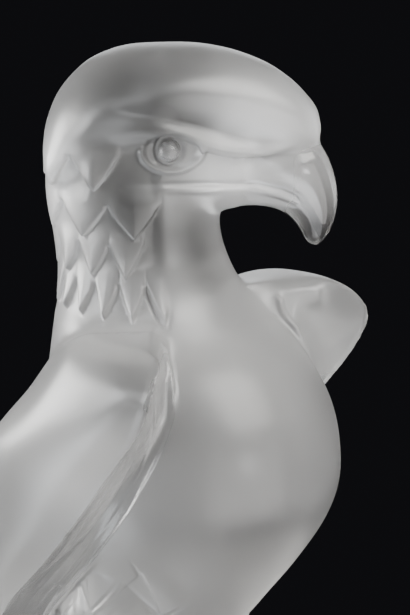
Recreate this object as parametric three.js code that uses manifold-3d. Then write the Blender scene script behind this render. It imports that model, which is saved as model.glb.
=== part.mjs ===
// A crystal eagle: one solid, satin-frosted casting of a perched eagle on a low oval plinth.
// Millimetres, +Z up. The breast faces -Y, the bird's left is +X, and the origin is the centre of the underside.
// The body, wings and legs are the same on both sides. Only the neck and head turn, towards the bird's left.
// The figure is a free form: its rows are drawn for a figure 219 units tall, and are shares of FIGURE_HEIGHT.
import * as THREE from "three";
import { mergeVertices } from "three/addons/utils/BufferGeometryUtils.js";
import Module from "manifold-3d";

const wasm = await Module();
wasm.setup();

const FIGURE_HEIGHT = 219;
const PLINTH_HEIGHT = 22;
const PLINTH_WIDTH = 106;
const PLINTH_DEPTH = 122;
const PLINTH_FOOT_CHAMFER = 1.2;
const PLINTH_SHOULDER = 6;
const HEAD_TURN = 40;

const SCALE = FIGURE_HEIGHT / 219; // millimetres in one unit of the rows
const NECK_FORWARD = 7; // the neck's axis stands this far in front of the plinth's centre
const ROOT_DEPTH = 4; // how far legs, tail and belly go down into the plinth

// A point of the figure: forward and left of the neck's axis in a frame turned to the left, and up from the plinth.
function figurePoint(forward, left, up, turn = 0) {
  const angle = THREE.MathUtils.degToRad(turn);
  const x = forward * Math.sin(angle) + left * Math.cos(angle);
  const ahead = forward * Math.cos(angle) - left * Math.sin(angle);
  return new THREE.Vector3(x, -(ahead + NECK_FORWARD), up).multiplyScalar(SCALE)
    .add(new THREE.Vector3(0, 0, PLINTH_HEIGHT));
}

// A Catmull-Rom curve through rows of any width, at a share from 0 to 1.
function through(rows, share) {
  const place = Math.min(share, 1) * (rows.length - 1);
  const i = Math.min(Math.floor(place), rows.length - 2);
  const t = place - i;
  return rows[i].map((_, column) => {
    const b = rows[i][column];
    const c = rows[i + 1][column];
    const a = i > 0 ? rows[i - 1][column] : 2 * b - c;
    const d = i + 2 < rows.length ? rows[i + 2][column] : 2 * c - b;
    return b + 0.5 * t * (c - a + t * (2 * a - 5 * b + 4 * c - d + t * (3 * (b - c) + d - a)));
  });
}

// A closed solid over rings of equal length, with a fan over each end. Its faces are turned outwards by its volume.
function skin(rings) {
  const around = rings[0].length;
  const centre = (ring) => ring.reduce((sum, p) => sum.add(p), new THREE.Vector3()).divideScalar(around);
  const points = [...rings.flat(), centre(rings[0]), centre(rings[rings.length - 1])];
  const faces = [];
  for (let r = 0; r < rings.length - 1; r++) {
    for (let k = 0; k < around; k++) {
      const next = (k + 1) % around;
      const [a, b, c, d] = [r * around + k, r * around + next, (r + 1) * around + k, (r + 1) * around + next];
      faces.push([a, b, d], [a, d, c]);
    }
  }
  const last = (rings.length - 1) * around;
  for (let k = 0; k < around; k++) {
    const next = (k + 1) % around;
    faces.push([next, k, points.length - 2], [last + k, last + next, points.length - 1]);
  }
  return solidOf(points, faces);
}

function solidOf(points, faces) {
  const volume = faces.reduce((sum, [a, b, c]) => sum + points[a].dot(points[b].clone().cross(points[c])), 0);
  const outward = volume < 0 ? faces.map(([a, b, c]) => [a, c, b]) : faces;
  const geometry = new THREE.BufferGeometry().setFromPoints(points);
  geometry.setIndex(outward.flat());
  return manifoldOf(geometry);
}

function manifoldOf(geometry) {
  geometry.deleteAttribute("normal");
  geometry.deleteAttribute("uv");
  const merged = mergeVertices(geometry, 1e-4);
  const vertProperties = new Float32Array(merged.attributes.position.array);
  const triVerts = new Uint32Array(merged.index.array);
  return new wasm.Manifold(new wasm.Mesh({ numProp: 3, vertProperties, triVerts }));
}

// A form over ribs. A rib runs between two points of a turned upright plane, and bulges half its width to each side.
// Rows: [forward, up] of one edge, [forward, up] of the other, half the width, turn in degrees, and the share of
// the rib, from its first edge, at which it is widest.
function ribPoint(rows, power, share, angle) {
  const [forward0, up0, forward1, up1, half, turn, widest] = through(rows, share);
  const c = Math.sign(Math.cos(angle)) * Math.abs(Math.cos(angle)) ** (2 / power);
  const s = Math.sign(Math.sin(angle)) * Math.abs(Math.sin(angle)) ** (2 / power);
  const place = c > 0 ? widest * (1 - c) : widest - c * (1 - widest);
  const forward = forward0 + place * (forward1 - forward0);
  const up = up0 + place * (up1 - up0);
  return figurePoint(forward, s * half, up, turn);
}

function ribs(rows, power) {
  return (share, angle) => ribPoint(rows, power, share, angle);
}

// A form stacked up from rings: pointAt gives a point at a share along it and an angle round it.
function stacked(pointAt, along, around) {
  const rings = [];
  for (let r = 0; r <= along; r++) {
    const ring = [];
    for (let k = 0; k < around; k++) ring.push(pointAt(r / along, (2 * Math.PI * k) / around));
    rings.push(ring);
  }
  return skin(rings);
}

// A limb: a round form along a path. Rows: forward, left, up and radius. side is 1 for the left and -1 for the right.
function limb(rows, along, around, side = 1, turn = 0) {
  const at = (share) => {
    const [forward, left, up, radius] = through(rows, share);
    return { point: figurePoint(forward, side * left, up, turn), radius: radius * SCALE };
  };
  const rings = [];
  const step = 1e-3;
  const across = new THREE.Vector3(0.6, 0.7, 0.4);
  for (let r = 0; r <= along; r++) {
    const share = r / along;
    const { point, radius } = at(share);
    const ahead = at(Math.min(share + step, 1)).point;
    const behind = at(Math.max(share - step, 0)).point;
    const axis = ahead.sub(behind).normalize();
    across.projectOnPlane(axis).normalize();
    const up = axis.clone().cross(across);
    const ring = [];
    for (let k = 0; k < around; k++) {
      const angle = (2 * Math.PI * k) / around;
      const spoke = across.clone().multiplyScalar(Math.cos(angle)).addScaledVector(up, Math.sin(angle));
      ring.push(point.clone().addScaledVector(spoke, radius));
    }
    rings.push(ring);
  }
  return skin(rings);
}

// Trunk and neck: level ribs from inside the plinth up into the skull. The front edge is the breast and the throat.
const TRUNK_POWER = 2.05;
const TRUNK = [
  [11, -ROOT_DEPTH, -41, -ROOT_DEPTH, 18, 0],
  [11, 7, -40, 7, 18, 0],
  [13, 20, -36, 20, 20, 0],
  [22, 32, -30, 32, 23, 0],
  [32, 42, -24, 42, 27, 0],
  [39, 51, -22, 51, 32, 0],
  [47.5, 62, -22.5, 62, 37, 0],
  [56, 75, -23.5, 75, 41.5, 0],
  [60.2, 86, -24, 86, 43.4, 0],
  [60.4, 97, -24.5, 97, 43.6, 0],
  [58.2, 108, -26, 108, 42.5, 0],
  [53.4, 117.5, -27, 117.5, 40, 0],
  [46, 127, -27.5, 127, 36, 2],
  [35, 135.5, -27.5, 135.5, 31.5, 8],
  [27, 144, -27, 144, 27.5, 18],
  [22.5, 154, -27.6, 154, 25, 30],
  [20.8, 162, -28.8, 162, 24.3, 35],
  [20.4, 168, -30, 168, 24.2, 38],
  [18, 177, -30.8, 177, 23.6, 40],
  [10, 186, -30.6, 186, 20, 40],
].map((row) => [...row, 0.5]);

// A row of the head: two edges, half the width and the widest share, turned with the head.
function headRow([forward0, up0, forward1, up1, half, widest]) {
  return [forward0, up0, forward1, up1, half, HEAD_TURN, widest];
}

// The skull, a dome that overhangs the brows: upright ribs from the back of the head to the forehead.
const SKULL_POWER = 2;
const SKULL = [
  [-31, 187, -31, 184, 1, 0.5],
  [-30.2, 193, -30.2, 178, 11, 0.5],
  [-26.5, 202, -26.5, 168, 17.5, 0.45],
  [-20, 209.4, -20, 164, 21.5, 0.38],
  [-14, 213, -14, 166, 23.2, 0.33],
  [-6, 215.4, -6, 174, 23.9, 0.35],
  [5, 216, 5, 184, 23.4, 0.38],
  [15, 215.8, 15, 187, 21.5, 0.41],
  [25, 214, 25, 185, 18.4, 0.42],
  [34.5, 210.4, 34.5, 183, 14.8, 0.42],
  [41.5, 205.8, 41.5, 183, 11.8, 0.45],
  [46, 201.4, 46, 184, 9.2, 0.5],
  [49.3, 197, 49.3, 186, 6, 0.5],
  [50.6, 192, 50.6, 190, 1, 0.5],
].map(headRow);

// The face under the brows, from the cheeks to the root of the beak.
const FACE_POWER = 2.8;
const FACE = [
  [-25, 184, -25, 172, 8, 0.5],
  [-19, 194, -19, 165, 21, 0.5],
  [-12, 198, -12, 163, 22.6, 0.5],
  [-4, 198.5, -4, 163, 21.9, 0.5],
  [5, 198.5, 5, 163.5, 20.6, 0.5],
  [13, 197, 13, 165.5, 18.2, 0.5],
  [20.4, 194, 20.4, 167.2, 15.2, 0.5],
  [27, 191, 27, 168.5, 12.6, 0.5],
  [32, 184, 32, 172, 6, 0.5],
].map(headRow);

// The beak: ribs from the culmen to the lower edge, that swing down into the hook.
const BEAK_POWER = 2;
const BEAK = [
  [18, 191, 12, 169.4, 11.6, 0.5],
  [27, 190, 19, 168.6, 13, 0.5],
  [36, 188.4, 25.5, 168, 11.8, 0.5],
  [45, 188, 31.5, 168, 10.9, 0.5],
  [49.2, 187.2, 36, 167.3, 10, 0.5],
  [52.2, 183.7, 40.2, 165.6, 8.8, 0.5],
  [54.6, 177.8, 43.2, 162.8, 7.4, 0.5],
  [55.8, 171.2, 45, 160, 6, 0.5],
  [55.5, 165.6, 46.2, 157.5, 4.7, 0.5],
  [53.7, 160, 47.7, 156, 3.1, 0.5],
  [50.6, 155.8, 49.8, 155.4, 0.5, 0.5],
].map(headRow);

// The back between the wings, which runs down into the tail, and the tail into the plinth. Level ribs.
const TAIL_POWER = 2.3;
const TAIL = [
  [0, 140, -22, 140, 12],
  [0, 128, -25.5, 128, 16],
  [-4, 112, -32, 112, 18],
  [-8, 96, -39, 96, 18],
  [-12, 80, -45, 80, 18],
  [-18, 62, -51, 62, 19],
  [-26, 42, -56, 42, 20.5],
  [-36, 22, -60, 22, 22.5],
  [-42, 6, -62, 6, 24],
  [-43, -ROOT_DEPTH, -61, -ROOT_DEPTH, 23.5],
].map((row) => [...row, 0, 0.5]);

// The left wing in level slices: height, then left and forward of five points of its outer side, from the leading
// edge round to the back, and of the line where its front face meets the breast.
const WING = [
  [142.8, 43, 34, 44.5, 27, 43, 20.5, 40, 17, 37.5, 18, 38.5, 26],
  [141.6, 46, 41, 47.8, 29, 44, 15.5, 38, 10, 33, 11.5, 35, 28],
  [138.5, 48.3, 44.5, 51, 30, 47, 11, 37, 3, 26, 3, 31, 31.5],
  [131, 50.3, 44.6, 54, 31, 50.5, 8, 35, -7, 15, -15, 29, 32.5],
  [119, 49.5, 39, 55.5, 25, 53, 2, 40, -13, 14, -24, 31, 36],
  [104, 48.5, 27.6, 54.5, 13, 53, -9, 43, -24, 13, -34, 36, 37],
  [89, 48, 16.6, 52.5, 1, 50.5, -18, 41, -32, 11, -41, 39.2, 32],
  [69, 47, 0, 49.5, -13.5, 46, -28, 35, -41, 8.5, -48, 38.2, 14.5],
  [48, 42.5, -20.8, 42.5, -31, 37, -41.5, 27, -50, 8, -54, 32.4, -7],
  [32, 35, -33, 34.5, -41.5, 29, -49.5, 21, -55.5, 9, -58, 23.5, -23],
  [18, 26.5, -45, 25.5, -50, 22, -55, 18, -58.5, 12, -60, 17, -40],
  [9, 20, -52.5, 19.6, -53.5, 18.8, -55, 17.5, -56, 16.5, -56, 17, -53],
];
const WING_SLICES = 14;
const WING_OUTER_STEPS = 10;
const WING_FACE_STEPS = 3;
const SHOULDER_DROP = 3.5;
const DROP_START = 95;
const DROP_END = 143;

function wing(side) {
  const rings = [];
  for (let r = 0; r <= WING_SLICES; r++) {
    const [up, ...flat] = through(WING, r / WING_SLICES);
    const points = [];
    for (let i = 0; i < flat.length; i += 2) points.push([flat[i], flat[i + 1]]);
    const meeting = points.pop();
    const edge = points[0];
    const back = points[points.length - 1];
    const outline = [];
    for (let k = 0; k <= WING_OUTER_STEPS; k++) outline.push(through(points, k / WING_OUTER_STEPS));
    outline.push([(back[0] + meeting[0]) / 4, (back[1] + meeting[1]) / 2]);
    for (let k = WING_FACE_STEPS; k > 0; k--) outline.push(through([edge, meeting], k / WING_FACE_STEPS));
    const level = up - shoulderDrop(side, up);
    rings.push(outline.map(([left, forward]) => figurePoint(forward, side * left, level)));
  }
  return skin(rings);
}

// The right shoulder sits a little lower than the left one, under the turned head.
function shoulderDrop(side, up) {
  return side > 0 ? 0 : (SHOULDER_DROP * Math.max(up - DROP_START, 0)) / (DROP_END - DROP_START);
}

// The left shoulder, which fills the hollow between the neck and the top of the wing.
const SHOULDER = [
  [0, 8, 121, 14],
  [10, 16, 127.5, 13],
  [18, 24.5, 133.2, 9],
  [26, 32.5, 136.6, 6],
  [33.5, 40, 138, 4.2],
];

function shoulder(side) {
  const rows = SHOULDER.map(([forward, left, up, radius]) => [forward, left, up - shoulderDrop(side, up), radius]);
  return limb(rows, 5, 12, side);
}

// Feathered thigh and bare shank of the left leg, in level rings. Rows: forward, left, up and radius.
const LEG = [
  [15, 12, 94, 8],
  [16, 19, 82, 15.5],
  [14, 21.5, 70, 19.2],
  [9, 22.5, 58, 19.6],
  [4.5, 22.7, 47, 18.3],
  [4, 23.2, 33, 13],
  [5, 23, 19, 8.2],
  [6, 23, 9, 6.6],
  [6, 23, -ROOT_DEPTH, 6.6],
];

function legPoint(side, share, angle) {
  const [forward, left, up, radius] = through(LEG, share);
  return figurePoint(forward + radius * Math.cos(angle), side * (left + radius * Math.sin(angle)), up);
}

// A toe with its claw, on the plinth. Rows: reach out from the ankle, height and radius.
const ANKLE = { forward: 6, left: 23 };
const TOE = [
  [0, 5.5, 6],
  [7, 7, 5.4],
  [13, 5.2, 4.6],
  [18, 6.2, 4.4],
  [22, 5, 3.4],
  [26, 3.4, 2.6],
  [29, 0.4, 1.3],
  [29.5, -ROOT_DEPTH / 2, 0.8],
];
const TOES = [
  { splay: -32, reach: 0.92 },
  { splay: 0, reach: 1.08 },
  { splay: 32, reach: 0.92 },
  { splay: 172, reach: 0.62 },
];

function toe(side, splay, reach) {
  const angle = THREE.MathUtils.degToRad(splay);
  const ahead = reach * Math.cos(angle);
  const aside = reach * Math.sin(angle);
  const rows = TOE.map(([out, up, radius]) => [ANKLE.forward + out * ahead, ANKLE.left + out * aside, up, radius]);
  return limb(rows, 6, 6, side);
}

// A lozenge feather that stands proud of a surface, from its root to its tip: two shoulders at its widest place, a
// keel between them and the tip, and a peg below. The heights are shares of its rise.
const WIDEST_AT = 0.6;
const KEEL_AT = 0.8;
const ROOT_HEIGHT = -0.2;
const SHOULDER_HEIGHT = 0.15;
const TIP_HEIGHT = 0.45;
const PEG_HEIGHT = -2;

function lozenge(surface, root, tip, middle, half, rise) {
  const lift = (place, away, height) => {
    const { point, normal } = surface(root + place * (tip - root), middle + away);
    return point.clone().addScaledVector(normal, height * rise * SCALE);
  };
  const points = [
    lift(0, 0, ROOT_HEIGHT),
    lift(WIDEST_AT, half, SHOULDER_HEIGHT),
    lift(1, 0, TIP_HEIGHT),
    lift(WIDEST_AT, -half, SHOULDER_HEIGHT),
    lift(KEEL_AT, 0, 1),
    lift(WIDEST_AT, 0, PEG_HEIGHT),
  ];
  const faces = [];
  for (let k = 0; k < 4; k++) {
    const next = (k + 1) % 4;
    faces.push([k, next, 4], [next, k, 5]);
  }
  return solidOf(points, faces);
}

// The surface of a stacked form at a share along it and an angle in degrees, with its outward normal.
function surfaceOf(pointAt) {
  const step = 1e-3;
  return (share, degrees) => {
    const angle = THREE.MathUtils.degToRad(degrees);
    const point = pointAt(share, angle);
    const along = pointAt(share - step, angle).sub(point);
    const across = pointAt(share, angle + step).sub(point);
    const normal = across.cross(along).normalize();
    const inward = pointAt(share, angle + Math.PI).sub(point);
    return { point, normal: normal.dot(inward) > 0 ? normal.negate() : normal };
  };
}

// Rows of lozenges round a form. Each row has its tips at one share of the form, a middle, the angles of the first
// and the last feather away from it, and a pitch, all in degrees.
function plumage(surface, rows, length, rise) {
  const feathers = [];
  for (const { tip, middle, first, pitch, last } of rows) {
    for (let away = first; away <= last; away += pitch) {
      for (const side of away ? [1, -1] : [1]) {
        feathers.push(lozenge(surface, tip + length, tip, middle + side * away, pitch / 2, rise));
      }
    }
  }
  return feathers;
}

// The cape of the neck, over the nape and sides, closer set in each row down. The throat is smooth. Its rows follow
// the head's turn, and not the trunk's, which is less lower down.
const CAPE = [
  { tip: 0.94, first: 0, pitch: 32, last: 70 },
  { tip: 0.851, first: 18.2, pitch: 36.5, last: 95 },
  { tip: 0.774, first: 12.2, pitch: 24.5, last: 90 },
  { tip: 0.709, first: 0, pitch: 18, last: 110 },
].map((row) => ({ ...row, middle: 180 + HEAD_TURN - through(TRUNK, row.tip)[5] }));
const CAPE_LENGTH = 0.055;
const CAPE_RISE = 1.2;

// The feathering of the thighs, on their outer sides.
const THIGH = [
  { tip: 0.398, middle: 75, first: 0, pitch: 48, last: 80 },
  { tip: 0.527, middle: 75, first: 24, pitch: 48, last: 100 },
  { tip: 0.643, middle: 75, first: 0, pitch: 48, last: 100 },
];
const THIGH_LENGTH = -0.13;
const THIGH_RISE = 1.2;

// The tail's feathers, on its back.
const TAIL_FEATHERS = [{ tip: 0.925, middle: 180, first: 0, pitch: 22, last: 44 }];
const TAIL_LENGTH = -0.3;
const TAIL_RISE = 1.6;

// Brow, eye and lid of one side of the head, in its turned frame: forward, left, up and radius.
const BROW = [
  [-18, 20.2, 191.5, 1],
  [-7.6, 21.8, 194.4, 2],
  [3, 21.9, 195.2, 2.4],
  [12.3, 19.8, 192.4, 2.4],
  [21, 16.8, 188.8, 2.3],
  [30.2, 13, 186.6, 2.2],
  [40, 9.8, 187, 2],
  [47.5, 5.5, 188.4, 1],
];
const EYE = { forward: 6.2, up: 188.6, left: 19.8, radius: 4, rise: 2 };
const LID = { forward: 7.4, up: 189.2, left: 20, halfLength: 9.2, halfHeight: 7.4, radius: 0.9 };
const LID_FROM = 10;
const LID_TO = -190;
const LID_STEP = 25;
const FACE_TAPER = 0.28; // how fast the face narrows in front of the eye

function eye(side) {
  const ball = new THREE.SphereGeometry(EYE.radius * SCALE, 12, 6);
  ball.scale(1, EYE.rise / EYE.radius, 1);
  const outward = figurePoint(0, side, 0, HEAD_TURN).sub(figurePoint(0, 0, 0, HEAD_TURN)).normalize();
  ball.applyQuaternion(new THREE.Quaternion().setFromUnitVectors(new THREE.Vector3(0, 1, 0), outward));
  const centre = figurePoint(EYE.forward, side * EYE.left, EYE.up, HEAD_TURN);
  ball.translate(centre.x, centre.y, centre.z);
  return manifoldOf(ball);
}

function lid(side) {
  const rows = [];
  for (let degrees = LID_FROM; degrees >= LID_TO; degrees -= LID_STEP) {
    const angle = THREE.MathUtils.degToRad(degrees);
    const forward = LID.forward + LID.halfLength * Math.cos(angle);
    const left = LID.left - FACE_TAPER * Math.max(forward - EYE.forward, 0);
    rows.push([forward, left, LID.up + LID.halfHeight * Math.sin(angle), LID.radius]);
  }
  return limb(rows, 12, 5, side, HEAD_TURN);
}

// The line of the mouth, cut in from the gape to the hook.
const MOUTH = [
  [-1, 22.2, 179.3, 0.6],
  [4, 20.9, 179.1, 1.1],
  [12, 18.5, 178.5, 1.1],
  [20, 15.5, 177.8, 1.1],
  [28, 13.2, 177.1, 1.1],
  [37, 11.2, 175.2, 1.1],
  [43, 9.7, 172.2, 1],
  [46.5, 8, 168.4, 0.6],
];

// The plinth: a turned profile with a shouldered top, drawn out into an oval.
function plinth() {
  const half = PLINTH_WIDTH / 2;
  const wall = PLINTH_HEIGHT - PLINTH_SHOULDER;
  const profile = [
    new THREE.Vector2(0, 0),
    new THREE.Vector2(half - PLINTH_FOOT_CHAMFER, 0),
    new THREE.Vector2(half, PLINTH_FOOT_CHAMFER),
    new THREE.Vector2(half, wall),
  ];
  for (let k = 1; k <= 3; k++) {
    const angle = (k / 3) * (Math.PI / 2);
    const inset = PLINTH_SHOULDER * (1 - Math.cos(angle));
    profile.push(new THREE.Vector2(half - inset, wall + PLINTH_SHOULDER * Math.sin(angle)));
  }
  profile.push(new THREE.Vector2(0, PLINTH_HEIGHT));
  const turned = new THREE.LatheGeometry(profile, 36);
  turned.rotateX(Math.PI / 2);
  turned.scale(1, PLINTH_DEPTH / PLINTH_WIDTH, 1);
  return manifoldOf(turned);
}

function eagle() {
  const trunk = ribs(TRUNK, TRUNK_POWER);
  const tail = ribs(TAIL, TAIL_POWER);
  const forms = [
    plinth(),
    stacked(trunk, 22, 26),
    stacked(tail, 10, 18),
    stacked(ribs(SKULL, SKULL_POWER), 16, 22),
    stacked(ribs(FACE, FACE_POWER), 8, 18),
    stacked(ribs(BEAK, BEAK_POWER), 11, 14),
    ...plumage(surfaceOf(trunk), CAPE, CAPE_LENGTH, CAPE_RISE),
    ...plumage(surfaceOf(tail), TAIL_FEATHERS, TAIL_LENGTH, TAIL_RISE),
  ];
  for (const side of [1, -1]) {
    const leg = (share, angle) => legPoint(side, share, angle);
    forms.push(wing(side), shoulder(side), stacked(leg, 9, 12));
    forms.push(...plumage(surfaceOf(leg), THIGH, THIGH_LENGTH, THIGH_RISE));
    for (const { splay, reach } of TOES) forms.push(toe(side, splay, reach));
    forms.push(limb(BROW, 9, 6, side, HEAD_TURN), eye(side), lid(side));
  }
  const whole = forms.reduce((sum, form) => sum.add(form));
  return [1, -1].reduce((left, side) => left.subtract(limb(MOUTH, 10, 5, side, HEAD_TURN)), whole);
}

const mesh = eagle().getMesh();
const geometry = new THREE.BufferGeometry();
geometry.setAttribute("position", new THREE.BufferAttribute(new Float32Array(mesh.vertProperties), 3));
geometry.setIndex(new THREE.BufferAttribute(new Uint32Array(mesh.triVerts), 1));
geometry.computeVertexNormals();

const frostedCrystal = new THREE.MeshStandardMaterial({ color: 0xdde1e0, roughness: 0.5, metalness: 0 });
const casting = new THREE.Mesh(geometry, frostedCrystal);
casting.name = "crystal_eagle";

const sculpture = new THREE.Group();
sculpture.add(casting);

export default sculpture;
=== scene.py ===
import math

import bpy
import numpy as np
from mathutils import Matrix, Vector


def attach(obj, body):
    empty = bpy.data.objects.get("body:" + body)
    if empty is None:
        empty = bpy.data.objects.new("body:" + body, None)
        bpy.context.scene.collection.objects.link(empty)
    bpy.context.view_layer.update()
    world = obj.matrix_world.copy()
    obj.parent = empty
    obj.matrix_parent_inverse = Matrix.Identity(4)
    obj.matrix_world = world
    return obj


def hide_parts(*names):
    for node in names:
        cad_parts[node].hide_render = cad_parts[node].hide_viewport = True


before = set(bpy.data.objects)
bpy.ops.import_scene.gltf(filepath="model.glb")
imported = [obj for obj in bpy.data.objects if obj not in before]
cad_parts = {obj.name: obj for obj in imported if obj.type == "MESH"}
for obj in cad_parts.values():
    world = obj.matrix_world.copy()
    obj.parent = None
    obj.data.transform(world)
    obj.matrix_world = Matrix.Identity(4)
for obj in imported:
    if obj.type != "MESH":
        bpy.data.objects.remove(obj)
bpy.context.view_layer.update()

# The camera stands to the bird's right and a little above, as for the photograph, with a long lens. The
# neck's axis is left of the picture's middle, and the picture cuts the bird off below the breast.
PHOTO_HEIGHT_PX = 615
CAMERA_AZIMUTH = math.radians(-50)
CAMERA_RISE = math.radians(16)
CAMERA_DISTANCE = 0.8
CAMERA_SENSOR = 36.0
MM_PER_PX = 0.30
AIM_HEIGHT = 0.1581
AIM_RIGHT_OF_NECK = 0.0165
NECK_AXIS_Y = -0.007

back = Vector((math.sin(CAMERA_AZIMUTH) * math.cos(CAMERA_RISE),
               -math.cos(CAMERA_AZIMUTH) * math.cos(CAMERA_RISE),
               math.sin(CAMERA_RISE)))
right = Vector((math.cos(CAMERA_AZIMUTH), math.sin(CAMERA_AZIMUTH), 0))
aim = Vector((0, NECK_AXIS_Y, AIM_HEIGHT)) + right * AIM_RIGHT_OF_NECK
camera = bpy.data.objects.new("camera", bpy.data.cameras.new("camera"))
camera.data.sensor_width = CAMERA_SENSOR
camera.data.lens = CAMERA_SENSOR * CAMERA_DISTANCE * 1000 / (MM_PER_PX * PHOTO_HEIGHT_PX)
camera.location = aim + back * CAMERA_DISTANCE
camera.rotation_euler = (-back).to_track_quat("-Z", "Y").to_euler()
bpy.context.collection.objects.link(camera)
bpy.context.scene.camera = camera

# The casting: bird, feet, tail and plinth are one piece of crystal, cast in a mould and cold-worked. The
# rough forms are nearly the solid's, in rows of millimetres: forward and left of the neck's axis, and up from
# the plinth. They are fused into one skin, then filleted, carved and etched.
FIGURE_HEIGHT = 219.0
PLINTH_HEIGHT = 22.0
PLINTH_WIDTH = 106.0
PLINTH_DEPTH = 122.0
PLINTH_FOOT_CHAMFER = 1.2
PLINTH_SHOULDER = 6.0
HEAD_TURN = 40.0
SCALE = FIGURE_HEIGHT / 219
NECK_FORWARD = 7.0
MM = 0.001
FUSE_MM = 0.45


def figure_points(forward, left, up, turn=0.0):
    """Points of the figure in metres, with forward and left turned by turn degrees about the neck's axis."""
    angle = np.radians(turn)
    x = forward * np.sin(angle) + left * np.cos(angle)
    ahead = forward * np.cos(angle) - left * np.sin(angle)
    up = up + 0 * x
    y = -(ahead + NECK_FORWARD)
    return np.stack([x * SCALE, y * SCALE, up * SCALE + PLINTH_HEIGHT], axis=-1) * MM


def through(rows, shares):
    """Catmull-Rom curve through rows, at shares from 0 to 1. Past each end the next row is reflected."""
    rows = np.asarray(rows, float)
    rows = np.vstack([2 * rows[0] - rows[1], rows, 2 * rows[-1] - rows[-2]])
    place = np.clip(np.asarray(shares, float), 0, 1) * (len(rows) - 3)
    i = np.minimum(place.astype(int), len(rows) - 4)
    t = (place - i)[..., None]
    a, b, c, d = rows[i], rows[i + 1], rows[i + 2], rows[i + 3]
    return b + 0.5 * t * (c - a + t * (2 * a - 5 * b + 4 * c - d + t * (3 * (b - c) + d - a)))


def rib_form(rows, power, along, around):
    """Rings round ribs. A rib joins two points of a turned upright plane and bulges by half its width to each
    side, as a superellipse of that power whose widest place is a given share of the way along the rib."""
    forward0, up0, forward1, up1, half, turn, widest = through(rows, np.linspace(0, 1, along)).T[:, :, None]
    angle = np.linspace(0, 2 * np.pi, around, endpoint=False)[None, :]
    c = np.sign(np.cos(angle)) * np.abs(np.cos(angle)) ** (2 / power)
    s = np.sign(np.sin(angle)) * np.abs(np.sin(angle)) ** (2 / power)
    place = np.where(c > 0, widest * (1 - c), widest - c * (1 - widest))
    return figure_points(forward0 + place * (forward1 - forward0), s * half, up0 + place * (up1 - up0), turn)


def limb_form(rows, along, around, side=1, turn=0.0):
    """Rings of a round form along a path of rows forward, left, up and radius. Each ring's frame is the one
    before, laid flat against the path's new direction."""
    forward, left, up, radius = through(rows, np.linspace(0, 1, along)).T
    path = figure_points(forward, side * left, up, turn)
    tangent = np.gradient(path, axis=0)
    tangent /= np.linalg.norm(tangent, axis=1, keepdims=True)
    across = np.array([0.6, 0.7, 0.4])
    angle = np.linspace(0, 2 * np.pi, around, endpoint=False)[:, None]
    rings = []
    for centre, axis, r in zip(path, tangent, radius * SCALE * MM):
        across = across - axis * (across @ axis)
        across /= np.linalg.norm(across)
        rings.append(centre + r * (np.cos(angle) * across + np.sin(angle) * np.cross(axis, across)))
    return np.array(rings)


fused_points = []
fused_faces = []


def fuse(rings):
    """Adds the closed skin over rings to the casting: quads between rings and a fan over each end. It faces
    outwards, the way that makes six times its volume, the sum of each face's triple product, positive."""
    count, around = rings.shape[:2]
    points = np.vstack([rings.reshape(-1, 3), rings[0].mean(axis=0), rings[-1].mean(axis=0)])
    k = np.arange(around)
    after = (k + 1) % around
    r = np.arange(count - 1)[:, None] * around
    a, b, c, d = r + k, r + after, r + around + k, r + around + after
    last = (count - 1) * around
    centre = np.full(around, count * around)
    quads = [np.stack([a, b, d], -1).reshape(-1, 3), np.stack([a, d, c], -1).reshape(-1, 3)]
    fans = [np.stack([after, k, centre], -1), np.stack([last + k, last + after, centre + 1], -1)]
    faces = np.concatenate(quads + fans)
    corners = points[faces]
    volume = np.einsum("ij,ij->", corners[:, 0], np.cross(corners[:, 1], corners[:, 2]))
    if volume < 0:
        faces = faces[:, ::-1]
    fused_faces.append(faces + sum(len(p) for p in fused_points))
    fused_points.append(points)


# Trunk, neck and tail, of the one casting: level ribs from inside the plinth up into the skull and the
# shoulders. Rows: front edge, back edge, half width, turn and widest share.
TRUNK_POWER = 2.05
TRUNK = [
    [11, -4, -41, -4, 18, 0, 0.5],
    [11, 7, -40, 7, 18, 0, 0.5],
    [13, 20, -36, 20, 20, 0, 0.5],
    [22, 32, -30, 32, 23, 0, 0.5],
    [32, 42, -24, 42, 27, 0, 0.5],
    [39, 51, -22, 51, 32, 0, 0.5],
    [47.5, 62, -22.5, 62, 37, 0, 0.5],
    [56, 75, -23.5, 75, 41.5, 0, 0.5],
    [60.2, 86, -24, 86, 43.4, 0, 0.5],
    [60.4, 97, -24.5, 97, 43.6, 0, 0.5],
    [58.2, 108, -26, 108, 42.5, 0, 0.5],
    [53.4, 117.5, -27, 117.5, 40, 0, 0.5],
    [46, 127, -27.5, 127, 36, 2, 0.5],
    [35, 135.5, -27.5, 135.5, 31.5, 8, 0.5],
    [27, 144, -27, 144, 27.5, 18, 0.5],
    [22.5, 154, -27.6, 154, 25, 30, 0.5],
    [20.8, 162, -28.8, 162, 24.3, 35, 0.5],
    [20.4, 168, -30, 168, 24.2, 38, 0.5],
    [18, 177, -30.8, 177, 23.6, 40, 0.5],
    [10, 186, -30.6, 186, 20, 40, 0.5],
]
TAIL_POWER = 2.3
TAIL = [
    [0, 140, -22, 140, 12, 0, 0.5],
    [0, 128, -25.5, 128, 16, 0, 0.5],
    [-4, 112, -32, 112, 18, 0, 0.5],
    [-8, 96, -39, 96, 18, 0, 0.5],
    [-12, 80, -45, 80, 18, 0, 0.5],
    [-18, 62, -51, 62, 19, 0, 0.5],
    [-26, 42, -56, 42, 20.5, 0, 0.5],
    [-36, 22, -60, 22, 22.5, 0, 0.5],
    [-42, 6, -62, 6, 24, 0, 0.5],
    [-43, -4, -61, -4, 23.5, 0, 0.5],
]
fuse(rib_form(TRUNK, TRUNK_POWER, 160, 120))
fuse(rib_form(TAIL, TAIL_POWER, 100, 80))

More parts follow.
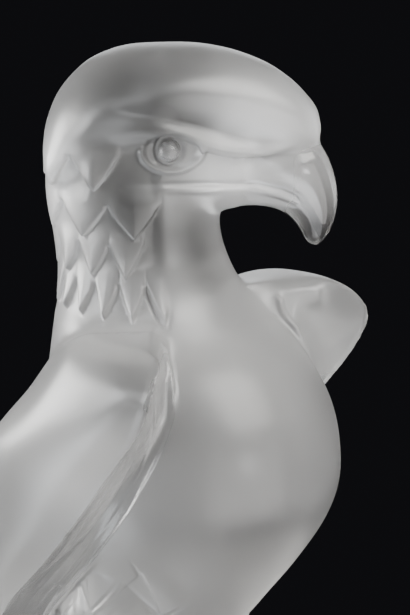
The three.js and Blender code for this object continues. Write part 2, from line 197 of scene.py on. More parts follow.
# Head, turned with the neck: the skull's dome over the brows, the face under them, and the beak, whose ribs
# swing down into the hook. Rows: top edge, bottom edge, half width and widest share.
SKULL_POWER = 2
SKULL = [
    [-31, 187, -31, 184, 1, 0.5],
    [-30.2, 193, -30.2, 178, 11, 0.5],
    [-26.5, 202, -26.5, 168, 17.5, 0.45],
    [-20, 209.4, -20, 164, 21.5, 0.38],
    [-14, 213, -14, 166, 23.2, 0.33],
    [-6, 215.4, -6, 174, 23.9, 0.35],
    [5, 216, 5, 184, 23.4, 0.38],
    [15, 215.8, 15, 187, 21.5, 0.41],
    [25, 214, 25, 185, 18.4, 0.42],
    [34.5, 210.4, 34.5, 183, 14.8, 0.42],
    [41.5, 205.8, 41.5, 183, 11.8, 0.45],
    [46, 201.4, 46, 184, 9.2, 0.5],
    [49.3, 197, 49.3, 186, 6, 0.5],
    [50.6, 192, 50.6, 190, 1, 0.5],
]
FACE_POWER = 2.8
FACE = [
    [-25, 184, -25, 172, 8, 0.5],
    [-19, 194, -19, 165, 21, 0.5],
    [-12, 198, -12, 163, 22.6, 0.5],
    [-4, 198.5, -4, 163, 21.9, 0.5],
    [5, 198.5, 5, 163.5, 20.6, 0.5],
    [13, 197, 13, 165.5, 18.2, 0.5],
    [20.4, 194, 20.4, 167.2, 15.2, 0.5],
    [27, 191, 27, 168.5, 12.6, 0.5],
    [32, 184, 32, 172, 6, 0.5],
]
BEAK_POWER = 2
BEAK = [
    [18, 191, 12, 169.4, 11.6, 0.5],
    [27, 190, 19, 168.6, 13, 0.5],
    [36, 188.4, 25.5, 168, 11.8, 0.5],
    [45, 188, 31.5, 168, 10.9, 0.5],
    [49.2, 187.2, 36, 167.3, 10, 0.5],
    [52.2, 183.7, 40.2, 165.6, 8.8, 0.5],
    [54.6, 177.8, 43.2, 162.8, 7.4, 0.5],
    [55.8, 171.2, 45, 160, 6, 0.5],
    [55.5, 165.6, 46.2, 157.5, 4.7, 0.5],
    [53.7, 160, 47.7, 156, 3.1, 0.5],
    [50.6, 155.8, 49.8, 155.4, 0.5, 0.5],
]
for rows, power in ((SKULL, SKULL_POWER), (FACE, FACE_POWER), (BEAK, BEAK_POWER)):
    fuse(rib_form([row[:5] + [HEAD_TURN, row[5]] for row in rows], power, 90, 90))

# Brow ridges: a soft roll from behind each eye to the root of the beak, and a filling in the valley between
# it and the dome. Rows: forward, left, up and radius.
BROW = [
    [-18, 20.2, 191.5, 1],
    [-7.6, 21.8, 194.4, 2],
    [3, 21.9, 195.2, 2.4],
    [12.3, 19.8, 192.4, 2.4],
    [21, 16.8, 188.8, 2.3],
    [30.2, 13, 186.8, 1.9],
    [40, 9.8, 187.4, 1.2],
    [46, 6.5, 188.4, 0.5],
]
BROW_FILL = [
    [4, 18.5, 197, 1.5],
    [12, 17.8, 193.8, 2.2],
    [21, 14.9, 190.4, 2.3],
    [27, 12.7, 189, 2.2],
    [33, 10.8, 188.2, 2],
    [41, 8.6, 188, 1.4],
]
for side in (1, -1):
    fuse(limb_form(BROW, 60, 24, side, HEAD_TURN))
    fuse(limb_form(BROW_FILL, 40, 20, side, HEAD_TURN))

# Wings, half open and cupped forwards. Level slices: height, then left and forward of five points of the
# outer side, from the leading edge to the back, and of the line where the front face meets the breast. The
# right shoulder is a little lower.
WING = [
    [142.8, 41, 35, 43, 27.5, 42.5, 20.5, 40, 17, 37.5, 18, 38.5, 26],
    [141.6, 42.4, 41, 45.8, 29.5, 43.5, 15.5, 38, 10, 33, 11.5, 35, 28],
    [138.5, 45.6, 44.3, 49.6, 30, 47, 11, 37, 3, 26, 3, 31, 31.5],
    [131, 50.3, 44.6, 54, 31, 50.5, 8, 35, -7, 15, -15, 29, 32.5],
    [119, 49.5, 39, 55.5, 25, 53, 2, 40, -13, 14, -24, 31, 36],
    [104, 48.5, 27.6, 54.5, 13, 53, -9, 43, -24, 13, -34, 36, 37],
    [89, 48, 16.6, 52.5, 1, 50.5, -18, 41, -32, 11, -41, 39.2, 32],
    [69, 47, 0, 49.5, -13.5, 46, -28, 35, -41, 8.5, -48, 38.2, 14.5],
    [48, 42.5, -20.8, 42.5, -31, 37, -41.5, 27, -50, 8, -54, 32.4, -7],
    [32, 35, -33, 34.5, -41.5, 29, -49.5, 21, -55.5, 9, -58, 23.5, -23],
    [18, 26.5, -45, 25.5, -50, 22, -55, 18, -58.5, 12, -60, 17, -40],
    [9, 20, -52.5, 19.6, -53.5, 18.8, -55, 17.5, -56, 16.5, -56, 17, -53],
]
WING_HOLLOW = 3.0
HOLLOW_WIDTH = 22.0
SHOULDER_DROP = 3.5
DROP_START = 95.0
DROP_END = 143.0

# Each shoulder, a roll from the side of the breast out into the wing. Rows: forward, left, up and radius.
SHOULDER = [
    [0, 8, 121, 14],
    [10, 16, 127.5, 13],
    [18, 24.5, 133.2, 9],
    [26, 32.5, 136.6, 6],
    [33.5, 40, 138, 4.2],
]


def shoulder_drop(side, up):
    """How far that side's shoulder sits lower: nothing on the left, growing in proportion on the right."""
    return 0 * up if side > 0 else SHOULDER_DROP * np.maximum(up - DROP_START, 0) / (DROP_END - DROP_START)


def wing_form(side, slices, outer_steps, face_steps):
    """Rings round level slices: a curve through the outer points, one point inside the body, then the front
    face, a straight line back to the leading edge that is hollowed by half a sine wave."""
    level = through(WING, np.linspace(0, 1, slices))
    outer = level[:, 1:11].reshape(slices, 5, 2)
    meeting = level[:, 11:13]
    curve = through(outer.transpose(1, 0, 2).reshape(5, -1), np.linspace(0, 1, outer_steps))
    curve = curve.reshape(outer_steps, slices, 2).transpose(1, 0, 2)
    inside = (outer[:, 4] + meeting) / [4, 2]
    t = np.linspace(0, 1, face_steps, endpoint=False)[None, :, None]
    face = meeting[:, None] * (1 - t) + outer[:, :1] * t
    reach = np.linalg.norm(meeting - outer[:, 0], axis=1) / HOLLOW_WIDTH
    face[..., 1] -= WING_HOLLOW * np.sin(np.pi * t[..., 0]) * reach[:, None]
    outline = np.concatenate([curve, inside[:, None], face], axis=1)
    up = (level[:, 0] - shoulder_drop(side, level[:, 0]))[:, None]
    return figure_points(outline[..., 1], side * outline[..., 0], up)


for side in (1, -1):
    fuse(wing_form(side, 160, 90, 40))
    lowered = np.array(SHOULDER, float)
    lowered[:, 2] -= shoulder_drop(side, lowered[:, 2])
    fuse(limb_form(lowered, 40, 40, side))

# Legs, of the one casting: a feathered thigh and a bare shank in level rings, and four toes with claws that
# bed into the plinth. Rows of a leg: forward, left, up and radius; of a toe: reach out, up and radius. Each
# toe has a splay, in degrees outwards from straight ahead, and its own share of that reach.
LEG = [
    [15, 12, 94, 8],
    [16, 18.6, 82, 15],
    [15, 20, 70, 18],
    [11.5, 20.4, 58, 18.3],
    [6.5, 21.4, 47, 17.6],
    [4, 23.2, 33, 13],
    [5, 23, 19, 8.2],
    [6, 23, 9, 6.6],
    [6, 23, -4, 6.6],
]
TOE = [
    [0, 5.5, 6],
    [7, 7, 5.4],
    [13, 5.2, 4.6],
    [18, 6.2, 4.4],
    [22, 5, 3.4],
    [26, 3.4, 2.6],
    [29, 0.4, 1.3],
    [29.5, -2, 0.8],
]
TOES = ((-32, 0.92), (0, 1.08), (32, 0.92), (172, 0.62))
ANKLE = (6, 23)


def leg_form(side, along, around):
    """Level rings: circles of the row's radius about its place."""
    forward, left, up, radius = through(LEG, np.linspace(0, 1, along)).T[:, :, None]
    angle = np.linspace(0, 2 * np.pi, around, endpoint=False)[None, :]
    return figure_points(forward + radius * np.cos(angle), side * (left + radius * np.sin(angle)), up)


for side in (1, -1):
    fuse(leg_form(side, 80, 60))
    for splay, reach in TOES:
        c, s = math.cos(math.radians(splay)), math.sin(math.radians(splay))
        rows = [[ANKLE[0] + out * reach * c, ANKLE[1] + out * reach * s, up, r] for out, up, r in TOE]
        fuse(limb_form(rows, 50, 24, side))


# The plinth, a low oval block of the one casting, with a softened shoulder. It rests on its ground underside.
def plinth_form(around):
    """Rings of a turned profile from the underside's middle up its wall and over a quarter-round shoulder,
    drawn out from a circle into an oval."""
    half = PLINTH_WIDTH / 2
    wall = PLINTH_HEIGHT - PLINTH_SHOULDER
    bend = np.linspace(0, np.pi / 2, 12)
    shoulder = half - PLINTH_SHOULDER * (1 - np.cos(bend))
    radius = np.concatenate([[1, half - PLINTH_FOOT_CHAMFER, half], shoulder, [1]])
    up = np.concatenate([[0, 0, PLINTH_FOOT_CHAMFER], wall + PLINTH_SHOULDER * np.sin(bend), [PLINTH_HEIGHT]])
    angle = np.linspace(0, 2 * np.pi, around, endpoint=False)
    x = radius[:, None] * np.cos(angle)
    y = radius[:, None] * np.sin(angle) * PLINTH_DEPTH / PLINTH_WIDTH
    return np.stack([x, y, up[:, None] + 0 * x], axis=-1) * MM


fuse(plinth_form(200))

# Fusing: the forms become one closed skin by a voxel remesh. Its creases are filled with fillets and its skin
# is softened, as the mould and the acid leave it.
rough = bpy.data.meshes.new("rough")
rough.from_pydata(np.vstack(fused_points), [], np.concatenate(fused_faces))
rough_object = bpy.data.objects.new("rough", rough)
bpy.context.collection.objects.link(rough_object)
remesh = rough_object.modifiers.new("fuse", "REMESH")
remesh.mode = "VOXEL"
remesh.voxel_size = FUSE_MM * MM
fused = bpy.data.meshes.new_from_object(rough_object.evaluated_get(bpy.context.evaluated_depsgraph_get()))
bpy.data.objects.remove(rough_object)


def points_of(mesh):
    """The mesh's points as one array."""
    flat = np.empty(3 * len(mesh.vertices), np.float32)
    mesh.vertices.foreach_get("co", flat)
    return flat.reshape(-1, 3).astype(float)


def normals_of(mesh, points):
    """Puts the points into the mesh and reads back its point normals."""
    mesh.vertices.foreach_set("co", points.astype(np.float32).ravel())
    mesh.update()
    flat = np.empty(3 * len(mesh.vertices), np.float32)
    mesh.vertex_normals.foreach_get("vector", flat)
    return flat.reshape(-1, 3).astype(float)


edges = np.empty(2 * len(fused.edges), np.int32)
fused.edges.foreach_get("vertices", edges)
edges = edges.reshape(-1, 2)
starts, ends = np.concatenate([edges, edges[:, ::-1]]).T
valence = np.bincount(starts, minlength=len(fused.vertices))[:, None]


def pulled(points):
    """For each point, the way to the mean of its neighbours."""
    total = np.stack([np.bincount(starts, points[ends, axis], len(points)) for axis in range(3)], axis=-1)
    return total / valence - points


def settle(points, amount, rounds):
    """Moves points towards the mean of their neighbours, by each point's own amount, round after round."""
    chosen = np.flatnonzero(amount > 0.001)
    place = np.full(len(points), -1)
    place[chosen] = np.arange(len(chosen))
    near = place[starts] >= 0
    centre, beside = place[starts[near]], ends[near]
    for turn_count in range(rounds):
        total = [np.bincount(centre, points[beside, axis], len(chosen)) for axis in range(3)]
        mean = np.stack(total, axis=-1) / valence[chosen]
        points[chosen] += amount[chosen, None] * (mean - points[chosen])


def placed(points, turn):
    """Forward, left and up of points, in millimetres, in the figure's frame turned by turn degrees."""
    angle = math.radians(turn)
    x, y, z = points.T / MM
    ahead = -y - NECK_FORWARD
    up = z - PLINTH_HEIGHT
    return (x * math.sin(angle) + ahead * math.cos(angle)) / SCALE, \
        (x * math.cos(angle) - ahead * math.sin(angle)) / SCALE, up / SCALE


def smooth_step(low, high, value):
    """0 at low and beyond, 1 at high and beyond, whichever is the larger, and 3t^2 - 2t^3 between."""
    t = np.clip((value - low) / (high - low), 0, 1)
    return t * t * (3 - 2 * t)


def line_distance(across, up, line):
    """Distance of each point from a line of straight pieces, and how far along it the nearest place is."""
    nearest = np.full(across.shape, 1e9)
    along = np.zeros(across.shape)
    for number, (a, b) in enumerate(zip(line[:-1], line[1:])):
        run = np.subtract(b, a)
        t = np.clip(((across - a[0]) * run[0] + (up - a[1]) * run[1]) / (run @ run), 0, 1)
        gap = np.hypot(across - a[0] - t * run[0], up - a[1] - t * run[1])
        along = np.where(gap < nearest, (number + t) / (len(line) - 1), along)
        nearest = np.minimum(nearest, gap)
    return nearest, along


# The ridge beside the breast on each wing's front face. Rows: height, and how far out from the breast it
# stands, as a share of the face's width.
RIDGE = [
    (141, -0.4),
    (138, -0.25),
    (129.4, 0.01),
    (118.7, 0.06),
    (109, 0.16),
    (97, 0.25),
    (85, 0.24),
    (70, 0.19),
    (9, 0.1),
]


def wing_place(points, side):
    """Where points lie about the front face of that side's wing, in millimetres: out from its ridge, in from
    its leading edge, off the hollowed face, and the height in the wing's own rows."""
    forward, left, up = placed(points, 0)
    level = through(WING, np.linspace(1, 0, 300))
    ridge_up, ridge_share = np.array(RIDGE[::-1], float).T
    ridge = np.interp(level[:, 0], ridge_up, ridge_share)[:, None]
    heights = level[:, 0] - shoulder_drop(side, level[:, 0])
    columns = np.hstack([level[:, [1, 2, 11, 12, 0]], ridge])
    at_height = [np.interp(up, heights, column) for column in columns.T]
    edge_left, edge_forward, meet_left, meet_forward, row_up, start = at_height
    across, ahead = edge_left - meet_left, edge_forward - meet_forward
    width = np.hypot(across, ahead)
    share = ((side * left - meet_left) * across + (forward - meet_forward) * ahead) / width ** 2
    off = ((forward - meet_forward) * across - (side * left - meet_left) * ahead) / width
    off += WING_HOLLOW * np.sin(np.pi * np.clip(share, 0, 1)) * across / HOLLOW_WIDTH
    return (share - start) * width, (1 - share) * width, off, row_up


# The groove under the dome, in the head's frame. Rows: forward and up.
BROW_GROOVE = [
    (-16, 202.5),
    (-7.6, 200.9),
    (3, 198.6),
    (13.8, 195.4),
    (24.4, 191.4),
    (33.1, 188.9),
    (42, 188.4),
]
FILLET_SHARE = 0.9
FILLET_ROUNDS = 90
ROUNDS_PER_NORMAL = 6
SHARP_ROUNDS = 12
SOFTEN_SHARE = 0.5
SOFTEN_ROUNDS = 8
TOP_ROUNDS = 45
skin = points_of(fused)
lowest = skin[:, 2].min()
filled = np.full(len(skin), FILLET_SHARE)
for turn_count in range(FILLET_ROUNDS):
    if turn_count % ROUNDS_PER_NORMAL == 0:
        normals = normals_of(fused, skin)
    if turn_count == SHARP_ROUNDS:
        for side in (1, -1):
            from_ridge, from_edge, off, up = wing_place(skin, side)
            on_face = smooth_step(-9, -5, from_ridge) * smooth_step(-4, -1, from_edge)
            on_face *= smooth_step(7, 4, np.abs(off)) * smooth_step(20, 35, up) * smooth_step(140, 136, up)
            filled *= 1 - on_face
    lift = np.einsum("ij,ij->i", pulled(skin), normals)
    skin += (filled * np.maximum(lift, 0))[:, None] * normals
settle(skin, np.full(len(skin), SOFTEN_SHARE), SOFTEN_ROUNDS)
soft = np.zeros(len(skin))
for side in (1, -1):
    from_ridge, from_edge, off, up = wing_place(skin, side)
    near_top = smooth_step(127, 138, up) * smooth_step(-12, -6, from_ridge) * smooth_step(10, 6, np.abs(off))
    soft = np.maximum(soft, near_top * (side * placed(skin, 0)[1] > 18))
forward, left, up = placed(skin, HEAD_TURN)
gap, along = line_distance(forward, up, BROW_GROOVE)
soft = np.maximum(soft, smooth_step(4, 2, gap) * (np.abs(left) > 6) * (forward < 44))
settle(skin, SOFTEN_SHARE * soft, TOP_ROUNDS)
normals = normals_of(fused, skin)
for turn_count in range(SOFTEN_ROUNDS):
    normals += pulled(normals)
normals /= np.linalg.norm(normals, axis=1, keepdims=True)


def bell(distance, width):
    """A bell curve of that width."""
    return np.exp(-(distance / width) ** 2)


def petal(across, above_tip, half, length, widest=0.6):
    """A pointed feather's height as a share of its rise, and the groove round its tip. It is a lozenge,
    widest a given share of the way from tip to root, whose keel falls from the tip to nothing at the root."""
    share = np.clip(above_tip / length, 0, 1)
    reach = half * np.minimum((share / widest) ** 0.85, 1)
    inside = (reach - np.abs(across)) * 0.85
    keel = 0.4 + 0.6 * np.sqrt(np.clip(inside / half, 0, 1))
    edge = smooth_step(-0.1, 0.8, inside) * (above_tip > 0)
    fall = (1 - share) ** 1.2 * smooth_step(1, widest, share)
    groove = bell(inside + 0.45, 0.45) * (above_tip > -1) * smooth_step(widest + 0.1, 0.3, share)
    return edge * keel * fall, groove


forward, left, up = placed(skin, HEAD_TURN)
carve = np.zeros(len(skin))

# The cape of the neck: rows of pointed feathers, closer together in each row down. Rows: height of the tips,
# first feather's angle from the nape, pitch and last angle, in degrees.
CAPE = [
    (177, 0, 32, 70),
    (163, 18.2, 36.5, 95),
    (151, 12.2, 24.5, 90),
    (139.5, 0, 18, 110),
]
CAPE_LENGTH = 18.0
CAPE_RISE = 3.8
CAPE_SINK = 0.7
CAPE_GROOVE = 1.0
NECK_CENTRE = -4.5
NECK_RADIUS = 25.5
FEATHER_HALF = 0.56
neck = np.flatnonzero((up > 135) & (up < 200) & (np.hypot(forward - NECK_CENTRE, left) < 36))
angle = np.degrees(np.arctan2(np.abs(left[neck]), NECK_CENTRE - forward[neck]))
cape = np.zeros(len(neck))
for tip, first, pitch, last in CAPE:
    half = FEATHER_HALF * np.radians(pitch) * NECK_RADIUS
    for middle in np.arange(first, last, pitch):
        across = np.radians(angle - middle) * NECK_RADIUS
        feather, groove = petal(across, up[neck] - tip, half, CAPE_LENGTH)
        cape = np.maximum(CAPE_RISE * feather, cape) - CAPE_GROOVE * groove
covered = smooth_step(114, 103, angle) * smooth_step(196, 184, up[neck]) * smooth_step(135, 142, up[neck])
proud = 0.3 + 0.7 * smooth_step(8, 35, angle)
carve[neck] += (cape - CAPE_SINK) * covered * proud

# Eyes: a domed disc in a hollow between the fold of the brow and a raised lower lid.
EYE_FORWARD = 6.3
EYE_UP = 188.3
EYE_RADIUS = 3.3
LID_FORWARD = 7.1
LID_UP = 188.6
LID_HALF_LENGTH = 8.8
LID_HALF_HEIGHT = 6.1
EYE_RISE = 1.8
EYE_RING_DEPTH = 1.0
LID_RISE = 1.1
LID_HOLLOW = 0.7
on_side = smooth_step(6, 9, np.abs(left)) * (up > 162) * (up < 215) * (forward > -26) * (forward < 58)
disc = np.hypot(forward - EYE_FORWARD, up - EYE_UP) / EYE_RADIUS
lid = np.hypot((forward - LID_FORWARD) / LID_HALF_LENGTH, (up - LID_UP) / LID_HALF_HEIGHT)
eye = EYE_RISE * np.sqrt(np.clip(1 - disc ** 2, 0, 1)) - EYE_RING_DEPTH * bell(disc - 1.15, 0.2)
eye += LID_RISE * bell(lid - 1, 0.11) * smooth_step(190.5, 188, up) - LID_HOLLOW * smooth_step(1.0, 0.75, lid)
carve += eye * on_side * (lid < 1.6)

# The mouth: a fine line from the gape to the hook, over a soft lip. Rows: forward and up.
MOUTH = [
    (-4, 179.6),
    (5, 179),
    (13.8, 178.3),
    (24.5, 177.4),
    (31.8, 176.7),
    (38.6, 174.6),
    (43, 172.1),
    (46, 168.8),
]
LIP_BELOW = 1.9
LIP_RISE = 0.7
MOUTH_DEPTH = 1.0
gap, along = line_distance(forward, up, MOUTH)
lip, _ = line_distance(forward, up + LIP_BELOW, MOUTH)
shown = smooth_step(0, 0.35, along) * smooth_step(1, 0.85, along)
carve += on_side * (LIP_RISE * bell(lip, 1.0) - MOUTH_DEPTH * bell(gap, 0.7)) * shown

# The brow: a groove under the dome, and a fine line under the fold over the eye.
FOLD_LINE = [(14, 190.6), (21, 187.9), (30.2, 185.6), (34, 185.2)]
BROW_DEPTH = 0.35
FOLD_DEPTH = 0.4
gap, along = line_distance(forward, up, BROW_GROOVE)
carve -= on_side * BROW_DEPTH * bell(gap, 1.5) * smooth_step(0, 0.25, along) * smooth_step(1, 0.85, along)
gap, along = line_distance(forward, up, FOLD_LINE)
carve -= on_side * FOLD_DEPTH * bell(gap, 0.8) * smooth_step(0, 0.4, along) * smooth_step(1, 0.7, along)

# The wings: a raised rim along the leading edge and a ridge beside the breast, with a drawn channel between.
# Drawn lines: share of the way across from the ridge, and rise. Streak: height, and distance in from the
# leading edge. Lines top: the height at which the lines end, by side.
RIM_RISE = 0.3
RIDGE_RISE = 1.0
CHANNEL_DEPTH = 0.5
DRAWN_LINES = ((0.3, 0.18), (0.55, -0.15), (0.75, 0.15))
LINES_TOP = {1: 104, -1: 130}
STREAK_RISE = 0.3
STREAK = [(46, 0.2), (57, 1.6), (66, 3), (75, 4.8), (80, 5.4)]
body_forward, body_left, body_up = placed(skin, 0)
for side in (1, -1):
    from_ridge, from_edge, off, level = wing_place(skin, side)
    near = smooth_step(3.5, 1.5, np.abs(off)) * smooth_step(18, 30, level) * smooth_step(141, 137, level)
    near *= side * body_left > 12
    band = RIM_RISE * bell(from_edge, 0.7) + RIDGE_RISE * bell(np.hypot(from_ridge + 0.3, off), 1.1)
    band -= CHANNEL_DEPTH * smooth_step(0.4, 1.6, from_ridge) * smooth_step(0.5, 1.6, from_edge)
    drawn = smooth_step(2, 5, from_ridge + from_edge)
    drawn *= smooth_step(LINES_TOP[side] + 4, LINES_TOP[side] - 4, level)
    for place, rise in DRAWN_LINES:
        band += rise * bell((1 - place) * from_ridge - place * from_edge, 0.35) * drawn
    streak_up, streak_in = np.array(STREAK, float).T
    streak = bell(from_edge - np.interp(level, streak_up, streak_in), 0.3)
    band += STREAK_RISE * streak * smooth_step(82, 76, level)
    carve += near * band

# The thighs: broad pointed feathers round each leg, under the wings. Rows: height of the tips, first angle
# forward of straight out, pitch, half width, and what distances backwards count for: below 1 the feather
# reaches further back, under its neighbour.
THIGH = [
    (51.5, -60, 66, 13, 1),
    (43, -16, 66, 11, 0.4),
    (33, -50, 50, 9, 0.4),
]
THIGH_LENGTH = 26.0
THIGH_RISE = 2.2
THIGH_GROOVE = 1.0
THIGH_LAST = 120
THIGH_RADIUS = 18.2
for side in (1, -1):
    thigh = np.flatnonzero((body_up > 28) & (body_up < 82) & (side * body_left > 20))
    leg = through(LEG, np.linspace(1, 0, 200))
    leg_forward, leg_left = [np.interp(body_up[thigh], leg[:, 2], leg[:, k]) for k in (0, 1)]
    ahead, out = body_forward[thigh] - leg_forward, side * body_left[thigh] - leg_left
    angle = np.degrees(np.arctan2(ahead, out))
    plume = np.zeros(len(thigh))
    for tip, first, pitch, half, behind in THIGH:
        for middle in np.arange(first, THIGH_LAST, pitch):
            across = np.radians(angle - middle) * THIGH_RADIUS
            across = np.where(across < 0, behind * across, across)
            feather, groove = petal(across, body_up[thigh] - tip, half, THIGH_LENGTH, 0.85)
            plume = np.maximum(THIGH_RISE * feather, plume) - THIGH_GROOVE * groove
    on_leg = smooth_step(26, 22, np.hypot(ahead, out)) * smooth_step(28, 34, body_up[thigh])
    from_ridge, from_edge, off, level = wing_place(skin[thigh], side)
    on_leg *= np.maximum(smooth_step(1.5, 3, np.abs(off)), smooth_step(0, -1.5, from_ridge))
    carve[thigh] += plume * on_leg

# Small chips on the near wing, along its leading edge and beside it. Rows: forward, left, up and radius.
CHIPS = [
    (9.9, -47.7, 80.2, 0.9),
    (-13.6, -42.5, 54.6, 0.8),
    (-16.2, -42.2, 52.6, 1.0),
    (-4.0, -38.1, 57.4, 0.7),
]
CHIP_DEPTH = 0.6
for ahead, aside, height, radius in CHIPS:
    gap = np.linalg.norm(np.stack([body_forward - ahead, body_left - aside, body_up - height]), axis=0)
    carve -= CHIP_DEPTH * bell(gap, radius)

skin += carve[:, None] * normals * MM
skin[:, 2] = np.maximum(skin[:, 2], lowest)
normals_of(fused, skin)

# The finished skin is thinned where it is plain first, then all over, so that points stay where it is carved.
MOST_TRIANGLES = 190000
PLAIN_TRIANGLES = 60000
forward, left, up = placed(skin, HEAD_TURN)
carved = (np.abs(carve) > 0.12) | ((up > 150) & (forward > -10))
for ring in range(3):
    carved[starts[carved[ends]]] = True
casting_mesh = fused
for group, most in (("plain", 2 * np.count_nonzero(carved) + PLAIN_TRIANGLES), ("", MOST_TRIANGLES)):
    thick = bpy.data.objects.new("thick", casting_mesh)
    bpy.context.collection.objects.link(thick)
    thin = thick.modifiers.new("thin", "DECIMATE")
    if group:
        thick.vertex_groups.new(name=group).add(np.flatnonzero(~carved).tolist(), 1.0, "REPLACE")
        thin.vertex_group = group
    casting_mesh.calc_loop_triangles()
    thin.ratio = most / len(casting_mesh.loop_triangles)
    print("thinning", len(casting_mesh.loop_triangles), "to", most)
    casting_mesh = bpy.data.meshes.new_from_object(thick.evaluated_get(bpy.context.evaluated_depsgraph_get()))
    bpy.data.objects.remove(thick)
casting_mesh.name = "eagle_casting"
casting_mesh.shade_smooth()
casting = bpy.data.objects.new("eagle_casting", casting_mesh)
bpy.context.collection.objects.link(casting)
print("casting", len(casting_mesh.polygons), "faces")

# What is polished and what is left etched: 1 at the beak's tip, less on the eyes and the wings' front faces.
BAND_POLISH = 0.55
BEAK_POLISH = 0.8
EYE_POLISH = 0.3
ETCHED_ROUGHNESS = 0.33
POLISHED_ROUGHNESS = 0.1
finished = points_of(casting_mesh)
forward, left, up = placed(finished, HEAD_TURN)
polish = BEAK_POLISH * smooth_step(38, 50, forward) * smooth_step(189, 183, up) * (up > 150)
polish = np.maximum(polish, smooth_step(175, 165, up) * smooth_step(38, 44, forward) * (up > 150))
disc = np.hypot(forward - EYE_FORWARD, up - EYE_UP) / EYE_RADIUS
polish = np.maximum(polish, EYE_POLISH * smooth_step(1.1, 0.9, disc) * (np.abs(left) > 12))
for side in (1, -1):
    from_ridge, from_edge, off, level = wing_place(finished, side)
    face = smooth_step(-0.2, 0.8, from_ridge) * smooth_step(-0.4, 0.2, from_edge)
    face *= smooth_step(2.4, 1.4, np.abs(off)) * (side * placed(finished, 0)[1] > 12)
    face *= smooth_step(18, 30, level) * smooth_step(LINES_TOP[side] + 9, LINES_TOP[side] + 5, level)
    polish = np.maximum(polish, BAND_POLISH * face)
casting_mesh.attributes.new("polish", "FLOAT", "POINT").data.foreach_set("value", polish.astype(np.float32))

# The base colour: an even milky tone of the etch, with painted light and shade over it. Painted highlights
# lighten the lores, the forehead, the nape and the leading edges; painted shade darkens the dome, the cheeks,
# the valley under the brow, the beak's tip, parts of the wings and under the breast. Rows: turn of the frame,
# forward, how far to either side, up, radius and change.
EVEN_MILK = 0.43
TONE_AND_PAINTED_LIGHT_COLOUR = (0.12, 0.95)
PAINTED_LIGHT_AND_SHADE = [
    (HEAD_TURN, 19.8, 15.4, 181.8, 10, 0.6),
    (HEAD_TURN, 28.0, 12.5, 178.0, 8, 0.3),
    (HEAD_TURN, 31.0, 16.0, 199.0, 12, 0.5),
    (HEAD_TURN, 40.0, 11.0, 192.0, 9, 0.4),
    (HEAD_TURN, 13.0, 17.0, 158.0, 13, -0.3),
    (HEAD_TURN, -28.0, 16.6, 183.6, 10, 0.5),
    (HEAD_TURN, -28.0, 11.0, 170.0, 12, 0.4),
    (HEAD_TURN, -9.0, 23.0, 203.0, 20, -0.3),
    (HEAD_TURN, 6.0, 18.0, 210.0, 16, -0.15),
    (HEAD_TURN, -6.0, 22.7, 176.0, 14, -0.35),
    (HEAD_TURN, 3.6, 22.7, 161.0, 13, -0.2),
    (HEAD_TURN, 6.0, 21.0, 198.0, 6, -0.3),
    (HEAD_TURN, 15.0, 18.0, 195.0, 5, -0.3),
    (HEAD_TURN, 24.0, 15.0, 191.5, 4, -0.3),
    (HEAD_TURN, 33.0, 11.5, 189.5, 3.5, -0.3),
    (HEAD_TURN, 50.0, 0.0, 162.0, 9, -0.6),
    (0, 27.0, 54.0, 114.0, 12, 0.3),
    (0, 16.0, 51.0, 97.0, 12, 0.4),
    (0, 23.0, 22.0, 138.0, 16, 0.2),
    (0, -12.0, 52.0, 80.0, 26, -0.2),
    (0, 30.0, 40.0, 68.0, 20, -0.15),
    (0, 60.0, 0.0, 88.0, 24, -0.2),
    (0, 36.0, 50.0, 128.0, 14, -0.25),
    (0, 52.0, 20.0, 112.0, 14, -0.2),
    (0, 54.0, 19.0, 80.0, 14, -0.2),
]
# The even tone of the etch, then each patch of painted highlight (rising) or painted shade (falling) on it.
tone_and_painted_light = np.full(len(finished), EVEN_MILK)
for turn, ahead, aside, height, radius, change in PAINTED_LIGHT_AND_SHADE:
    forward, left, up = placed(finished, turn)
    gap = np.sqrt((forward - ahead) ** 2 + (np.abs(left) - aside) ** 2 + (up - height) ** 2)
    tone_and_painted_light += change * bell(gap, radius)
casting_mesh.attributes.new("tone_and_painted_light", "FLOAT", "POINT").data.foreach_set("value", tone_and_painted_light.astype(np.float32))

# Satin-etched crystal: the etched skin scatters, and beak, eyes and the wings' front faces are polished.
crystal = bpy.data.materials.new("frosted_crystal")
crystal.use_nodes = True
shader = crystal.node_tree.nodes["Principled BSDF"]
# The base colour: the etch's even tone with painted highlights and painted shade, from the point attribute.
tone_and_light_attribute = crystal.node_tree.nodes.new("ShaderNodeAttribute")
tone_and_light_attribute.attribute_name = "tone_and_painted_light"
white = crystal.node_tree.nodes.new("ShaderNodeMapRange")
white.inputs["To Min"].default_value = TONE_AND_PAINTED_LIGHT_COLOUR[0]
white.inputs["To Max"].default_value = TONE_AND_PAINTED_LIGHT_COLOUR[1]
crystal.node_tree.links.new(tone_and_light_attribute.outputs["Fac"], white.inputs["Value"])
crystal.node_tree.links.new(white.outputs["Result"], shader.inputs["Base Color"])
shader.inputs["Transmission Weight"].default_value = 0.75
shader.inputs["IOR"].default_value = 1.52
polished = crystal.node_tree.nodes.new("ShaderNodeAttribute")
polished.attribute_name = "polish"
sheen = crystal.node_tree.nodes.new("ShaderNodeMapRange")
sheen.inputs["To Min"].default_value = ETCHED_ROUGHNESS
sheen.inputs["To Max"].default_value = POLISHED_ROUGHNESS
crystal.node_tree.links.new(polished.outputs["Fac"], sheen.inputs["Value"])
crystal.node_tree.links.new(sheen.outputs["Result"], shader.inputs["Roughness"])
casting_mesh.materials.append(crystal)
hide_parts("crystal_eagle")
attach(casting, "root")

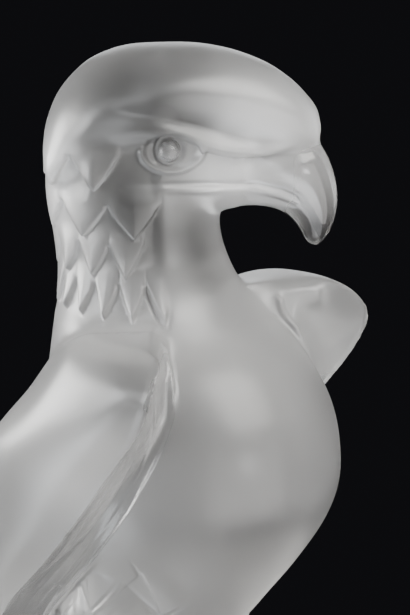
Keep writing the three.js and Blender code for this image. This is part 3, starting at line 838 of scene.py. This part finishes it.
# The studio: a round pale table top, just out of the picture, in a dark room.
FLOOR_RADIUS = 0.14
spin = np.linspace(0, 2 * np.pi, 96, endpoint=False)
floor_mesh = bpy.data.meshes.new("floor")
rim = np.stack([FLOOR_RADIUS * np.cos(spin), FLOOR_RADIUS * np.sin(spin), 0 * spin], axis=-1)
floor_mesh.from_pydata(rim, [], [tuple(range(96))])
paper = bpy.data.materials.new("pale_paper")
paper.use_nodes = True
paper.node_tree.nodes["Principled BSDF"].inputs["Base Color"].default_value = (0.78, 0.77, 0.75, 1)
paper.node_tree.nodes["Principled BSDF"].inputs["Roughness"].default_value = 0.8
floor_mesh.materials.append(paper)
floor = bpy.data.objects.new("floor", floor_mesh)
bpy.context.collection.objects.link(floor)

world = bpy.data.worlds.new("dark_room")
bpy.context.scene.world = world
world.use_nodes = True
world.node_tree.nodes["Background"].inputs["Color"].default_value = (0.02, 0.02, 0.024, 1)
world.node_tree.nodes["Background"].inputs["Strength"].default_value = 0.3


def soft_light(name, azimuth, elevation, distance, size, power, colour):
    """A square area light that faces the aim from a sphere round it, by azimuth and elevation in degrees."""
    a, e = math.radians(azimuth), math.radians(elevation)
    way = Vector((math.sin(a) * math.cos(e), -math.cos(a) * math.cos(e), math.sin(e)))
    lamp = bpy.data.lights.new(name, "AREA")
    lamp.size = size
    lamp.energy = power
    lamp.color = colour
    light = bpy.data.objects.new(name, lamp)
    light.location = aim + way * distance
    light.rotation_euler = (-way).to_track_quat("-Z", "Y").to_euler()
    bpy.context.collection.objects.link(light)


# Each light's azimuth, elevation and distance from the aim, then its size, power and colour.
soft_light("window_left", -110, 10, 0.9, 0.5, 11, (0.98, 0.99, 1))
soft_light("behind_left", -150, 5, 0.9, 0.5, 20, (1, 0.99, 0.97))
soft_light("low_left", -120, -45, 0.9, 0.5, 5, (0.92, 0.96, 1))
soft_light("lamp_right", 10, 45, 0.9, 0.6, 13.5, (1, 0.98, 0.94))
soft_light("fill_front", -20, 45, 0.9, 0.7, 2.6, (0.95, 0.97, 1))
soft_light("low_right", -9, -9, 0.38, 0.42, 1.9, (1, 0.98, 0.96))
soft_light("slit_front", -5, 2, 0.9, 0.05, 1.0, (1, 1, 1))
soft_light("behind_right", 130, 10, 0.9, 0.4, 1.1, (0.95, 0.97, 1))
